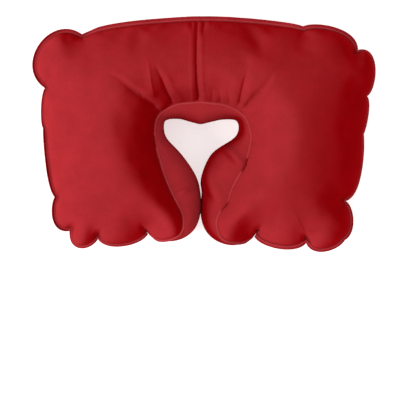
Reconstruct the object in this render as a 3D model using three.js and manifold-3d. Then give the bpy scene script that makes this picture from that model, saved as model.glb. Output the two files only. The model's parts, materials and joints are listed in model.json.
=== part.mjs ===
// A U-shaped inflatable neck pillow, lying flat. Millimetres, +Z up, the arms pointing to -Y.
// The air bladder is three sheets of flocked film: an upper and a lower panel, welded together round
// the outside, and a neck gusset that forms the wall round the wearer's neck. The arms open about the
// outer weld at the middle of the back, so each sheet is made as two halves that meet there.
// The inflation valve sits in the outer flank of the right arm.
import * as THREE from "three";
import { mergeVertices } from "three/addons/utils/BufferGeometryUtils.js";
import Module from "manifold-3d";

// ---- Driving dimensions ----
const FILM = 0.6; // thickness of the flocked film
const SEAM_HEIGHT = 42; // height of the outer weld above the table
const WELD_GAP = 0.3; // gap kept between two sheets where a weld holds them together
const FLANGE = 6; // width of the flat weld flange round the outside
const RIM_RISE = 22; // how far the gusset's edges lie above and below the outer weld
const RIM_TAPER = 50; // length over which the gusset closes towards the tip of an arm
const PROFILE_POWER = 0.4; // cross-section of an inflated panel: 0.5 is an ellipse, less is fuller
const LOWER_SHARE = 1.03; // the lower panel's depth as a share of the upper panel's height
const GUSSET_TURN = THREE.MathUtils.degToRad(112); // half the angle that the gusset's bulge turns through
const HALF_GAP = 0.5; // each half stops this far from the middle of the back
const ROWS = 7; // grid rows from a panel's edge to its crown line
const VALVE_ROWS = 11; // the same, in the panel that holds the valve
const GUSSET_ROWS = 8;
const TIP_PIECES = 6; // grid pieces along the rim round the tip of an arm
const RIM_SAMPLES = 60; // points along a rim curve when its length is measured
const SEGMENTS = 32; // round the valve's parts

// ---- Outline, seen from above ----
// The outer edge of each arm, from its tip to the middle of the back. A lobe ends at a pucker, and its
// bulge is how far it swells near its start and near its end; lean moves those two swellings along it.
// The first lobes, up to the outer corner, are the end of the arm.
// The rim, where the panels meet the gusset, runs from the tip to the middle of the back: points
// [x, y, how far the gusset bulges in from there].
const LEFT_ARM = {
  side: -1,
  tip: [-67.8, -120],
  endLobes: [
    { end: [-127.8, -126], bulge: [13, 18], pieces: 5 },
    { end: [-162, -116.4], bulge: [18, 26], pieces: 5 },
  ],
  outerLobes: [
    { end: [-179.4, -75.6], bulge: [24, 9], pieces: 4 },
    { end: [-191.4, 55.2], bulge: [9, 12], pieces: 9 },
    { end: [-147, 119.4], bulge: [47, 47], lean: [0, 0], pieces: 8 },
    { end: [-131.4, 126.6], bulge: [0, 0], pieces: 1 },
    { end: [-4.6, 141], bulge: [6.5, 3], pieces: 8 },
  ],
  rim: [
    [-67.8, -120, 0],
    [-51, -126, 3],
    [-30, -119, 10],
    [-27, -99, 21.5],
    [-40, -72, 33],
    [-53.5, -36, 29],
    [-60.5, -2, 12.5],
    [-56, 21, 9.5],
    [-35, 35, 17],
    [-4.6, 38.8, 27],
  ],
};
const RIGHT_ARM = {
  side: 1,
  tip: [60, -123],
  endLobes: [
    { end: [121.8, -130.8], bulge: [13, 16], pieces: 6 },
    { end: [168.6, -127.2], bulge: [20, 12], pieces: 4 },
  ],
  outerLobes: [
    { end: [169.2, -80.4], bulge: [14, 12], pieces: 5 },
    { end: [190.8, 0], bulge: [20, 5], pieces: 13 },
    { end: [195, 45.6], bulge: [3, 7], pieces: 3 },
    { end: [184.2, 100.8], bulge: [14, 29], lean: [5, -2], pieces: 5 },
    { end: [118.2, 129], bulge: [26, 12], pieces: 5 },
    { end: [-4.6, 141], bulge: [6.5, 3], pieces: 8 },
  ],
  rim: [
    [60, -123, 0],
    [42, -129, 5],
    [22, -124, 8.5],
    [17, -103, 19],
    [30, -76, 34.5],
    [49, -40, 41.5],
    [57, -2, 18.5],
    [48, 22, 10.5],
    [26, 34.5, 17],
    [-4.6, 38.8, 27],
  ],
};
const RIM_CORNER = 2; // the rim point at the inner corner of an arm's tip
// The crown line of a panel, from the end of an arm to the middle of the back:
// [distance from the middle, y, height above the outer weld].
const CROWN_LINE = [
  [98, -66, 43],
  [116, -8, 45],
  [104, 54, 43],
  [62, 83, 36],
  [0, 88, 32],
];

// ---- Valve, in its own frame: +Z points out of the pillow, 0 is the film's outer face ----
const VALVE_CENTRE = new THREE.Vector3(177, -34, 21.5);
const VALVE_AXIS = new THREE.Vector3(0.88, -0.17, -0.44).normalize();
const VALVE_FLAT = 19; // the film lies flat out to this radius
const VALVE_BLEND = 34; // and meets the inflated shape at this one
const VALVE_HOLE_R = 5.4;
const BASE_R = 12;
const BASE_THICK = 1;
const BASE_TOP = -FILM - WELD_GAP; // the base is welded to the inside of the film
const SLEEVE_BOTTOM = -9; // the base's sleeve guides the stem down to here
const SLEEVE_WALL = 1.2;
const STEM_R = 4.6;
const STEM_BORE_R = 3.3;
const STEM_BOTTOM = -19.5;
const STEM_GAP = 0.1; // running gap round the stem
const STOP_R = 5.8; // the ring that keeps the stem from being pulled right out
const STOP_THICK = 1.2;
const COLLAR_R = 6.6;
const COLLAR_THICK = 1.3;
const COLLAR_BOTTOM = 0.4; // pushed in, the collar stops just above the film
const COLLAR_TOP = COLLAR_BOTTOM + COLLAR_THICK;
const HINGE_X = -9.6; // the strap's living hinge, beside the collar
const LUG_REACH = 1.2; // how far the collar's lug reaches past that hinge
const STRAP_WIDTH = 3.6;
const STRAP_THICK = 0.8;
const PLUG_R = 3;
const PLUG_TIP_R = 2.3;
const PLUG_DEPTH = 4;
const PLUG_HEAD_R = 5.4;
const PLUG_HEAD_THICK = 1.4;
const PULL_TAB = 4; // length of the plug's finger tab
const FLAP_R = 4.2;
const FLAP_THICK = 0.6;
const PART_GAP = 0.3;

const smooth = (t) => t * t * (3 - 2 * t);
const clamp01 = (t) => Math.min(1, Math.max(0, t));
const middleX = LEFT_ARM.rim.at(-1)[0];

const wasm = await Module();
wasm.setup();

// ---- Curves ----

// A lobe between two puckers, as a Bezier curve that swells away from the arm's middle line.
function lobeCurve(start, { end, bulge, lean }, side) {
  const a = new THREE.Vector2(...start);
  const b = new THREE.Vector2(...end);
  const along = b.clone().sub(a).normalize();
  const out = new THREE.Vector2(along.y, -along.x).multiplyScalar(side);
  const shift = lean ?? [0.15 * a.distanceTo(b), 0.15 * a.distanceTo(b)];
  return new THREE.CubicBezierCurve(
    a,
    a.clone().addScaledVector(out, bulge[0]).addScaledVector(along, shift[0]),
    b.clone().addScaledVector(out, bulge[1]).addScaledVector(along, -shift[1]),
    b,
  );
}

function lobePoints(start, lobes, side) {
  const points = [new THREE.Vector2(...start)];
  for (const lobe of lobes) {
    points.push(...lobeCurve(points.at(-1).toArray(), lobe, side).getPoints(lobe.pieces).slice(1));
  }
  return points;
}

// A chain moved sideways towards the neck. Every chain ends at the middle of the back, running across it.
function towardsNeck(points, distance, side) {
  return points.map((p, i) => {
    const along = new THREE.Vector2(-side, 0);
    if (i + 1 < points.length) along.subVectors(points[i + 1], points[Math.max(0, i - 1)]).normalize();
    return new THREE.Vector2(p.x - along.y * side * distance, p.y + along.x * side * distance);
  });
}

function chainLength(points) {
  return points.slice(1).reduce((sum, p, i) => sum + p.distanceTo(points[i]), 0);
}

// How far along a chain each of its points is, as a share of its whole length.
function sharesOf(points) {
  const whole = chainLength(points);
  return points.map((_, i) => chainLength(points.slice(0, i + 1)) / whole);
}

function sampled(curve, from, to, pieces) {
  const at = (k) => curve.getPoint(THREE.MathUtils.lerp(from, to, k / pieces));
  return Array.from({ length: pieces + 1 }, (_, k) => at(k));
}

// ---- The boundary of one arm ----

function makeArm(arm) {
  const { side } = arm;
  const endEdge = lobePoints(arm.tip, arm.endLobes, side);
  const sideEdge = lobePoints(arm.endLobes.at(-1).end, arm.outerLobes, side);
  const edge = [...endEdge, ...sideEdge.slice(1)];
  const weld = towardsNeck(edge, FLANGE, side);
  const sideShares = sharesOf(weld.slice(endEdge.length - 1));

  const crownCurve = new THREE.CatmullRomCurve3(
    CROWN_LINE.map(([x, y, z]) => new THREE.Vector3(middleX + side * x, y, z)),
  );
  const crown = sideShares.map((s) => crownCurve.getPointAt(s));
  const towardsCrown = new THREE.Vector2(crown[0].x, crown[0].y).sub(edge[0]).normalize();
  weld[0] = edge[0].clone().addScaledVector(towardsCrown, FLANGE);

  const rimCurve = new THREE.CatmullRomCurve3(
    arm.rim.map((p) => new THREE.Vector3(...p)),
    false,
    "centripetal",
  );
  const cornerAt = RIM_CORNER / (arm.rim.length - 1);
  const tipPart = sampled(rimCurve, 0, cornerAt, TIP_PIECES);
  const sidePart = new THREE.CatmullRomCurve3(sampled(rimCurve, cornerAt, 1, RIM_SAMPLES));
  const rim = [...tipPart, ...sideShares.slice(1).map((s) => sidePart.getPointAt(s))];
  rim.at(-1).x = middleX;

  const bulges = rim.map((p) => Math.max(0, p.z));
  const rimPlan = rim.map((p) => new THREE.Vector2(p.x, p.y));
  const fromTip = sharesOf(rimPlan).map((s) => s * chainLength(rimPlan));
  const rises = fromTip.map((d) => RIM_RISE * smooth(clamp01(d / RIM_TAPER)));
  return { side, edge, weld, crown, rim: rimPlan, bulges, rises, endCount: endEdge.length - 1 };
}

// ---- Sheets ----

// A sheet is a list of points and of triangles that face out of the pillow.
class Sheet {
  constructor() {
    this.points = [];
    this.triangles = [];
  }

  add(point) {
    this.points.push(point);
    return this.points.length - 1;
  }

  face(a, b, c) {
    if (a !== b && b !== c && a !== c) this.triangles.push([a, b, c]);
  }

  // Joins two rows of point numbers that run side by side.
  strip(rowA, rowB) {
    for (let i = 0; i + 1 < rowA.length; i++) {
      this.face(rowA[i], rowB[i], rowB[i + 1]);
      this.face(rowA[i], rowB[i + 1], rowA[i + 1]);
    }
  }

  flip() {
    this.triangles = this.triangles.map(([a, b, c]) => [a, c, b]);
  }

  normals() {
    const sums = this.points.map(() => new THREE.Vector3());
    for (const corners of this.triangles) {
      const [a, b, c] = corners.map((k) => this.points[k]);
      const normal = b.clone().sub(a).cross(c.clone().sub(a));
      for (const k of corners) sums[k].add(normal);
    }
    return sums.map((n) => n.normalize());
  }

  // A closed solid: the sheet, its copy moved inwards, and walls along the sheet's open edges.
  thickened(thickness) {
    const count = this.points.length;
    const normals = this.normals();
    const inner = this.points.map((p, i) => p.clone().addScaledVector(normals[i], -thickness));
    const backs = this.triangles.map(([a, b, c]) => [a + count, c + count, b + count]);
    const faces = [...this.triangles, ...backs];
    const edges = new Set(this.triangles.flatMap(([a, b, c]) => [`${a},${b}`, `${b},${c}`, `${c},${a}`]));
    for (const key of edges) {
      const [a, b] = key.split(",").map(Number);
      if (!edges.has(`${b},${a}`)) faces.push([b, a, a + count], [b, a + count, b + count]);
    }
    const positions = [...this.points, ...inner].flatMap((p) => p.toArray());
    const geometry = new THREE.BufferGeometry();
    geometry.setAttribute("position", new THREE.Float32BufferAttribute(positions, 3));
    geometry.setIndex(faces.flat());
    return geometry;
  }
}

// ---- Panels ----

// Height of a panel's outer face where the inflated shape stands this far from the outer weld.
function panelHeight(rise, up) {
  const face = WELD_GAP / 2 + FILM;
  return up > 0 ? SEAM_HEIGHT + face + rise : Math.max(0, SEAM_HEIGHT - face - rise * LOWER_SHARE);
}

// Moves a point onto the valve's flat seat.
function seatedAtValve(p) {
  const offset = p.clone().sub(VALVE_CENTRE);
  const height = offset.dot(VALVE_AXIS);
  const radius = offset.addScaledVector(VALVE_AXIS, -height).length();
  const share = 1 - smooth(clamp01((radius - VALVE_FLAT) / (VALVE_BLEND - VALVE_FLAT)));
  return p.clone().addScaledVector(VALVE_AXIS, -height * share);
}

// The rows of a panel from a chain on its boundary up to the crown line. The first points of the chain,
// round the end of the arm, all fan into the crown line's first point.
function crownRows(sheet, arm, chain, rises, fanCount, up, crownRow, rowCount) {
  const hasValve = up < 0 && arm.side > 0;
  const rows = [];
  for (let j = 0; j < rowCount; j++) {
    const f = 1 - Math.cos((Math.PI / 2) * (j / rowCount));
    const lift = (1 - (1 - f) ** 2) ** PROFILE_POWER;
    rows.push(
      chain.map((p, i) => {
        const crown = arm.crown[Math.max(0, i - fanCount)];
        const plan = p.clone().lerp(new THREE.Vector2(crown.x, crown.y), f);
        const rise = THREE.MathUtils.lerp(rises[i], crown.z, lift);
        const point = new THREE.Vector3(plan.x + halfShift(arm, i, chain), plan.y, panelHeight(rise, up));
        return sheet.add(hasValve && j > 0 ? seatedAtValve(point) : point);
      }),
    );
  }
  rows.push(chain.map((_, i) => crownRow[Math.max(0, i - fanCount)]));
  return rows;
}

// The last point of each chain lies at the middle of the back, where the two halves leave a gap.
function halfShift(arm, i, chain) {
  return i === chain.length - 1 ? arm.side * HALF_GAP : 0;
}

// One arm's half of the upper panel (up = 1) or of the lower one (up = -1).
function panelSheet(arm, up) {
  const sheet = new Sheet();
  const rowCount = up < 0 && arm.side > 0 ? VALVE_ROWS : ROWS;
  const place = (chain, riseAt) =>
    chain.map((p, i) =>
      sheet.add(new THREE.Vector3(p.x + halfShift(arm, i, chain), p.y, panelHeight(riseAt(p), up))),
    );
  const edgeRow = place(arm.edge, () => 0);
  const crownRow = place(arm.crown, (p) => p.z);
  const flat = arm.weld.map(() => 0);
  const outer = crownRows(sheet, arm, arm.weld, flat, arm.endCount, up, crownRow, rowCount);
  const rimSide = arm.rim.slice(1);
  const inner = crownRows(sheet, arm, rimSide, arm.rises.slice(1), TIP_PIECES - 1, up, crownRow, rowCount);
  inner.forEach((row, j) => row.unshift(outer[j][0])); // both sides share the line up from the tip

  sheet.strip(edgeRow, outer[0]);
  sheet.face(edgeRow[0], inner[0][1], outer[0][0]);
  for (let j = 0; j < rowCount; j++) {
    sheet.strip(outer[j], outer[j + 1]);
    sheet.strip(inner[j + 1], inner[j]);
  }
  if (up * arm.side > 0) sheet.flip();
  return sheet;
}

// ---- Neck gusset ----

// One arm's half of the gusset: a strip along the rim that bulges towards the neck.
function gussetSheet(arm) {
  const sheet = new Sheet();
  const clear = towardsNeck(arm.rim, WELD_GAP, arm.side);
  const ahead = towardsNeck(arm.rim, 1, arm.side);
  const reach = Math.cos(GUSSET_TURN);
  const columns = [];
  for (let i = 1; i < arm.rim.length; i++) {
    const out = ahead[i].clone().sub(arm.rim[i]).normalize();
    const column = [];
    for (let j = 0; j <= GUSSET_ROWS; j++) {
      const turn = GUSSET_TURN * (1 - (2 * j) / GUSSET_ROWS);
      const bulge = arm.bulges[i] * ((Math.cos(turn) - reach) / (1 - reach));
      const plan = clear[i].clone().addScaledVector(out, bulge);
      const height = (arm.rises[i] * Math.sin(turn)) / Math.sin(GUSSET_TURN);
      const drop = turn < 0 ? LOWER_SHARE : 1;
      const x = plan.x + halfShift(arm, i, arm.rim);
      column.push(sheet.add(new THREE.Vector3(x, plan.y, SEAM_HEIGHT + height * drop)));
    }
    columns.push(column);
  }
  for (let i = 0; i + 1 < columns.length; i++) sheet.strip(columns[i], columns[i + 1]);
  if (arm.side > 0) sheet.flip();
  return sheet;
}

// ---- Solids of revolution and joins ----

// A ring or disc round the Z axis from its half section: points [radius, height], anticlockwise.
function lathe(section) {
  const loop = [...section, section[0]].map((p) => new THREE.Vector2(...p));
  return new THREE.LatheGeometry(loop, SEGMENTS).rotateX(Math.PI / 2);
}

function box(x0, x1, width, z0, z1) {
  return new THREE.BoxGeometry(x1 - x0, width, z1 - z0).translate((x0 + x1) / 2, 0, (z0 + z1) / 2);
}

function toManifold(geometry) {
  const bare = new THREE.BufferGeometry();
  bare.setAttribute("position", geometry.getAttribute("position"));
  bare.setIndex(geometry.getIndex());
  const welded = mergeVertices(bare, 1e-4);
  const indices = Array.from(welded.getIndex().array);
  const kept = [];
  for (let i = 0; i < indices.length; i += 3) {
    const [a, b, c] = indices.slice(i, i + 3);
    if (a !== b && b !== c && a !== c) kept.push(a, b, c);
  }
  return new wasm.Manifold(
    new wasm.Mesh({
      numProp: 3,
      vertProperties: Float32Array.from(welded.getAttribute("position").array),
      triVerts: Uint32Array.from(kept),
    }),
  );
}

function fromManifold(solid) {
  const mesh = solid.getMesh();
  const geometry = new THREE.BufferGeometry();
  geometry.setAttribute("position", new THREE.Float32BufferAttribute(mesh.vertProperties, 3));
  geometry.setIndex(Array.from(mesh.triVerts));
  return geometry;
}

function joined(geometries) {
  return fromManifold(wasm.Manifold.union(geometries.map(toManifold)));
}

// ---- Valve pieces, each in the valve's own frame ----

// The welded disc and the sleeve that the stem slides in.
function valveBase() {
  const bore = STEM_R + STEM_GAP;
  const sleeveR = bore + SLEEVE_WALL;
  const under = BASE_TOP - BASE_THICK;
  return lathe([
    [bore, SLEEVE_BOTTOM],
    [sleeveR, SLEEVE_BOTTOM],
    [sleeveR, under],
    [BASE_R, under],
    [BASE_R, BASE_TOP],
    [bore, BASE_TOP],
  ]);
}

// The tube that is pulled out to blow through, with its collar, stop ring and hinge lug.
function valveStem() {
  const tube = lathe([
    [STEM_BORE_R, STEM_BOTTOM],
    [STOP_R, STEM_BOTTOM],
    [STOP_R, STEM_BOTTOM + STOP_THICK],
    [STEM_R, STEM_BOTTOM + STOP_THICK],
    [STEM_R, COLLAR_BOTTOM],
    [COLLAR_R, COLLAR_BOTTOM],
    [COLLAR_R, COLLAR_TOP],
    [STEM_BORE_R, COLLAR_TOP],
  ]);
  const lug = box(HINGE_X - LUG_REACH, -STEM_R - 1, STRAP_WIDTH, COLLAR_BOTTOM, COLLAR_TOP);
  return joined([tube, lug]);
}

// The disc inside, which the pillow's own air pressure holds shut.
function checkFlap() {
  const top = STEM_BOTTOM - PART_GAP;
  return lathe([
    [0, top - FLAP_THICK],
    [FLAP_R, top - FLAP_THICK],
    [FLAP_R, top],
    [0, top],
  ]);
}

// The stopper on its strap. Its head rests on the collar, and the strap bends at the hinge.
function valvePlug() {
  const seat = COLLAR_TOP + PART_GAP;
  const head = seat + PLUG_HEAD_THICK;
  const stopper = lathe([
    [0, COLLAR_TOP - PLUG_DEPTH],
    [PLUG_TIP_R, COLLAR_TOP - PLUG_DEPTH],
    [PLUG_R, seat],
    [PLUG_HEAD_R, seat],
    [PLUG_HEAD_R, head],
    [0, head],
  ]);
  const strap = box(HINGE_X, -PLUG_HEAD_R + 1, STRAP_WIDTH, seat, seat + STRAP_THICK);
  const tab = box(PLUG_HEAD_R - 1, PLUG_HEAD_R + PULL_TAB, STRAP_WIDTH, seat, seat + STRAP_THICK);
  return joined([stopper, strap, tab]);
}

// From the valve's frame to the pillow's: +Z along the valve's axis, -X up the flank.
function valveFrame() {
  const z = VALVE_AXIS.clone();
  const y = new THREE.Vector3(0, 0, 1).cross(z).normalize();
  const x = y.clone().cross(z);
  return new THREE.Matrix4().makeBasis(x, y, z).setPosition(VALVE_CENTRE);
}

// ---- Assembly ----

const flock = () => new THREE.MeshStandardMaterial({ color: 0x9e1f23, roughness: 0.95, metalness: 0 });
const clearVinyl = () => new THREE.MeshStandardMaterial({ color: 0xd9d8d2, roughness: 0.35, metalness: 0 });

const pillow = new THREE.Group();
pillow.name = "neck_pillow";

function addNode(name, geometry, material) {
  const mesh = new THREE.Mesh(geometry, material);
  mesh.name = name;
  pillow.add(mesh);
  return mesh;
}

const leftArm = makeArm(LEFT_ARM);
const rightArm = makeArm(RIGHT_ARM);
addNode("upper_panel_left", panelSheet(leftArm, 1).thickened(FILM), flock());
addNode("upper_panel_right", panelSheet(rightArm, 1).thickened(FILM), flock());
addNode("lower_panel_left", panelSheet(leftArm, -1).thickened(FILM), flock());
addNode("neck_gusset_left", gussetSheet(leftArm).thickened(FILM), flock());
addNode("neck_gusset_right", gussetSheet(rightArm).thickened(FILM), flock());

const toPillow = valveFrame();
const holeTool = lathe([
  [0, -2 * FILM],
  [VALVE_HOLE_R, -2 * FILM],
  [VALVE_HOLE_R, FILM],
  [0, FILM],
]).applyMatrix4(toPillow);
const lowerRight = toManifold(panelSheet(rightArm, -1).thickened(FILM)).subtract(toManifold(holeTool));
addNode("lower_panel_right", fromManifold(lowerRight), flock());

addNode("valve_base", valveBase().applyMatrix4(toPillow), clearVinyl());
addNode("valve_stem", valveStem().applyMatrix4(toPillow), clearVinyl());
addNode("check_flap", checkFlap().applyMatrix4(toPillow), clearVinyl());
addNode("valve_plug", valvePlug().applyMatrix4(toPillow), clearVinyl());

// The origin is the middle of the whole, on the table.
const middle = new THREE.Box3().setFromObject(pillow).getCenter(new THREE.Vector3());
pillow.position.set(-middle.x, -middle.y, 0);

export default pillow;
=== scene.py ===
"""A U-shaped inflatable neck pillow of red flocked film, lying flat, seen from straight above."""

import json
import math

import bpy
import numpy as np
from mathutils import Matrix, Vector, kdtree


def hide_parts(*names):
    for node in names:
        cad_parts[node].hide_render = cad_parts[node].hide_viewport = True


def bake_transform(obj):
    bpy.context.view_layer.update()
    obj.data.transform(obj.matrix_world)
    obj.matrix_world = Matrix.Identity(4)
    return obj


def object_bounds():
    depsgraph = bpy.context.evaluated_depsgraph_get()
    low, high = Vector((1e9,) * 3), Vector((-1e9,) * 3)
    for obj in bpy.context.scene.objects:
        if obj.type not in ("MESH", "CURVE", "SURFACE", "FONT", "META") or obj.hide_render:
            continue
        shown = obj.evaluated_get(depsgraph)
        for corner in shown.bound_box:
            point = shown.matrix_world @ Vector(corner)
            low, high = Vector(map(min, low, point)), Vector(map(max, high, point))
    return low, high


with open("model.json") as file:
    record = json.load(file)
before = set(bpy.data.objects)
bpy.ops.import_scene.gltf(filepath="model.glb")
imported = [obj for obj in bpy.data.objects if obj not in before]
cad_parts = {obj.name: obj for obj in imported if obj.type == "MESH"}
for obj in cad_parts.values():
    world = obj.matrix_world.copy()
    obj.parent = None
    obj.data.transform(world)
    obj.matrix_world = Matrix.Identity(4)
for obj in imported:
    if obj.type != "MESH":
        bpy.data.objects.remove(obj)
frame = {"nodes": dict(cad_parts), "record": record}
CAD_LOW, CAD_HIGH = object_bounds()

# ---- Shape, in millimetres in the frame of OUTLINE below ----

SEAM_HEIGHT = 42.0  # height of the outer weld above the table
FLANGE_WAVE = 0.5  # how far the flange waves up and down
FLANGE_WAVELENGTH = 15
FIN = 3.6  # width of the weld round the neck
FIN_TILT = math.radians(6)
FIN_LEAST, FIN_TAPER = 0.12, 14  # share of its width at a tip, and how far from there it is whole
FIN_WAVE = 0.1  # how much the fin's width varies
TIP_MARGIN = 30.0  # the outer weld runs level over this length at the tips
TIP_BEND = 40.0  # and the fin lies level and smooth over this one
FILM = 0.6  # thickness
RIM_RISE = 22.0  # how far the gusset's edges lie above and below the outer weld
RIM_TAPER = 38.0  # length over which the gusset closes towards the tip of an arm
HEIGHT_SCALE = 7.1  # the panels swell by this times a power of the smooth distance to their edges
HEIGHT_POWER = 0.45
HALF_ARM = 50  # at this distance from the edges, the eases below leave the height alone
OUTER_EASE = 0.3  # how gradually the swelling starts at the outer weld
RIM_EASE = 6.0  # and at the rim
LOWER_SHARE = 1.03  # the lower panel is this much deeper than the upper one
GUSSET_TURN = math.radians(100)  # half the angle that the gusset's bulge turns through

COLUMN_STEP = 2.6  # grid step along the outer weld
BACK_STEP = 1.4  # the same behind the neck, where the folds are finest
ROWS = 26  # grid rows from an edge to the crown line
GUSSET_ROWS = 26
TIP_COLUMNS = 24  # grid columns along the rim round the tip of an arm
CURVE_STEPS = 64  # pieces that a curve is divided into before it is measured
LOBE_SHIFT = 0.15  # where a lobe gives no shift of its own, as a share of its length
MARGIN_BLEND = 4  # points on each side over which the flange changes from lobe to lobe
ACROSS_BLEND = 7  # and the rim's direction
NOSE_BLEND = 9  # and the gusset's reach

# Each arm from its tip to the middle of the back, as lobes of its outer edge. Each has: where it ends,
# how far it swells near its start and its end, the shift of those two along the lobe, the flange's
# width, how far the flange curls up, the height of the bead along the weld, and the depth of the
# pucker at the lobe's end. The first END_LOBES are the arm's end, the last BACK_LOBES are behind the neck.
END_LOBES = 2
BACK_LOBES = 1
LEFT_TIP = (-67.8, -120)
LEFT_LOBES = [
    ((-127.8, -126), (13, 18), None, 3.5, -0.5, 0.6, 4.5),
    ((-162, -116.4), (18, 26), None, 3.5, -0.5, 0.4, 4.5),
    ((-179.4, -75.6), (24, 9), None, 4.2, 2.4, 0, 1.5),
    ((-193.4, 7), (9, 2), None, 4.2, 2.4, 0, 0),
    ((-191.4, 55.2), (5, 5), None, 3.0, 0.5, 0, 0.5),
    ((-147, 119.4), (47, 47), (0, 0), 4.6, 2.2, 0, 0),
    ((-131.4, 126.6), (0, 0), None, 4.5, 0, 0.6, 0),
    ((-4.6, 141), (6.5, 3), None, 6.0, -0.3, 1.3, 0),
]
RIGHT_TIP = (60, -123)
RIGHT_LOBES = [
    ((121.8, -130.8), (13, 16), None, 5.0, -0.5, 1.2, 5),
    ((168.6, -127.2), (20, 12), None, 4.2, -0.5, 0.6, 0),
    ((169.2, -80.4), (14, 12), None, 4.0, -0.5, 0.4, 3.5),
    ((190.8, 0), (20, 5), None, 2, -1, 0, 0.8),
    ((195, 45.6), (3, 7), None, 2, -1, 0, 1.5),
    ((184.2, 100.8), (14, 29), (5, -2), 2, -1, 0, 4),
    ((118.2, 129), (26, 12), None, 5.5, 0, 1.2, 0.8),
    ((-4.6, 141), (6.5, 3), None, 6.0, -0.3, 0.8, 0),
]
# The rim where a panel meets the gusset, from the tip: (x, y, how far the gusset bulges from there).
RIM_CORNER = 2
LEFT_RIM = [
    (-67.8, -120, 0),
    (-51, -126, 3),
    (-30, -119, 10),
    (-27, -99, 23.6),
    (-40, -72, 35.5),
    (-53.5, -36, 29),
    (-60.5, -2, 12.5),
    (-56, 21, 9.5),
    (-35, 35, 17),
    (-4.6, 38.8, 27),
]
RIGHT_RIM = [
    (60, -123, 0),
    (42, -129, 5),
    (22, -124, 8.5),
    (16, -107, 20.5),
    (20.5, -93, 28),
    (28.5, -83, 35.5),
    (33.5, -68, 41),
    (49.5, -37, 41.5),
    (57, -2, 18.5),
    (48, 22, 10.5),
    (26, 34.5, 17),
    (-4.6, 38.8, 27),
]
# The line where the two sides of the grid meet, from the arm's end: (distance from the middle, y).
CROWN_LINE = [(98, -66), (116, -8), (104, 54), (62, 83), (0, 88)]
MIDDLE = LEFT_RIM[-1][0]

# Folds of the upper panel that run in towards the neck. Each is a line of (x, y, depth, width of its
# left flank, width of its right flank).
CREASES = [
    [
        (-8.8, 134, 2.6, 3.2, 3.2),
        (-9.4, 88, 2.8, 3.2, 3.2),
        (-8.6, 60, 3.2, 3.4, 3.4),
        (-6.6, 41, 3.6, 3.5, 4),
    ],
    [(-15.5, 133, 1.8, 3, 3), (-14.5, 116, 0, 3, 3)],
    [(0, 136, 2.4, 3, 3), (-3, 112, 0, 3, 3)],
    [
        (-112, 71, 0, 3, 5),
        (-97, 61, 2.2, 3, 8),
        (-84, 51, 3.8, 3.2, 11),
        (-70, 41, 4.6, 4, 13),
        (-57, 31, 3.6, 5, 13),
    ],
    [(-58, 79, 0, 3, 5), (-50, 64, 3.0, 3.6, 8), (-44, 49, 4.2, 4.2, 9), (-38, 38, 3.2, 5, 8)],
    [(-67, 94, 0, 4, 4), (-64, 66, -0.9, 4, 4), (-61, 46, -0.5, 4, 4)],
    [(-70, 44, 0, 3, 3), (-60, 42, 0.8, 3, 3), (-51, 45, 0, 3, 3)],
    [(82, 68, 0, 3, 3), (72, 56, 3.0, 3.2, 4), (60, 43, 4.6, 4.5, 6), (48, 30, 4.2, 6, 7)],
    [(52, 76, 0, 4, 4), (47, 62, 2.4, 4.5, 5), (43, 46, 3.4, 5, 6), (41, 35, 2.8, 4, 6)],
    [(80, 31, 0, 4, 4), (68, 26, 1.1, 4, 5), (56, 19, 1.7, 5, 5)],
    [(8, 56, 0, 4, 4), (9, 48, 0.5, 4, 4), (9, 40, 0.8, 3, 3)],
    [(17, 56, 0, 4, 4), (18, 47, 0.6, 4, 4), (19, 38, 0.9, 3, 3)],
    [(27, 58, 0, 4, 4), (28, 48, 0.7, 4, 4), (30, 36, 1.1, 4, 4)],
]
GUSSET_FOLDS = [
    [(14, -14, 0, 5, 5), (32, -24, 4.5, 6, 5), (42, -35, 4.5, 6, 6), (49, -41, 0.8, 6, 6)],
    [(2, -36, 0, 6, 6), (7, -58, 4.0, 7, 7), (13, -72, 5.0, 8, 7), (20, -84, 1.0, 7, 7)],
    [(-16, -66, 0, 4, 4), (-27, -70, 3.4, 4, 4), (-35, -74, 0.4, 5, 5)],
    [(-48, -16, 0, 4, 4), (-55, -12, 1.2, 3.5, 3.5), (-61, -8, 1.0, 4, 4)],
]
TIP_PUCKER = 4.5  # depth of the pucker at the tip of each arm
PUCKER_LENGTH = 13  # each pucker runs this far in from the outer weld
PUCKER_START = 4  # and starts this far outside it
PUCKER_WIDTH = 3.2
GATHER_STEP = 6.5  # spacing of the small gathers along the outer weld
GATHER_REACH = 5.0  # where they are deepest, from the weld
GATHERS = [  # (x, y, how far along the weld they spread, depth)
    (-163, 116, 20, 1.5),
    (-190, 20, 60, 0.5),
    (184, -104, 26, 0.6),
]

TABLE_SOFTNESS = 1.2  # how gradually the underside meets the table
SEAM_WAVE = 2.2  # how far the outer weld strays from its plane
SEAM_WAVELENGTH = 34
PUFF_PRESSURE = 4.0
PUFF_SHRINK = 0.01
PUFF_VOXEL = 4.5
PUFF_FRAMES = 18
PUFF_LIMIT = 4.0  # the most that the simulation may move a point
SPREAD_COUNT = 14  # each point takes its move from this many points of the simulation
SPREAD_SOFTNESS = 20  # square millimetres that even out the weights of the nearest ones
HELD_NEAR, HELD_FAR = 2.0, 10.0  # the welds hold points nearer than the first, and let go at the second
GUSSET_FREEDOM = 0.3  # share of that for the wall round the neck

BEND_START, BEND_END = 20, 160  # degrees round the neck between which arm_share goes from the right arm to the left one

VALVE_FLAT = 19.0  # round the valve the film lies flat out to this radius
VALVE_BLEND = 34.0  # and meets the inflated shape at this one
VALVE_HOLE = 5.4
VALVE_WELD_GAP = 0.3  # between the film and the valve's base, which is welded under it


PER_METRE = 1000  # millimetres


def smooth(t):
    t = np.clip(t, 0, 1)
    return t * t * (3 - 2 * t)


# ---- Curves in plan ----


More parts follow.
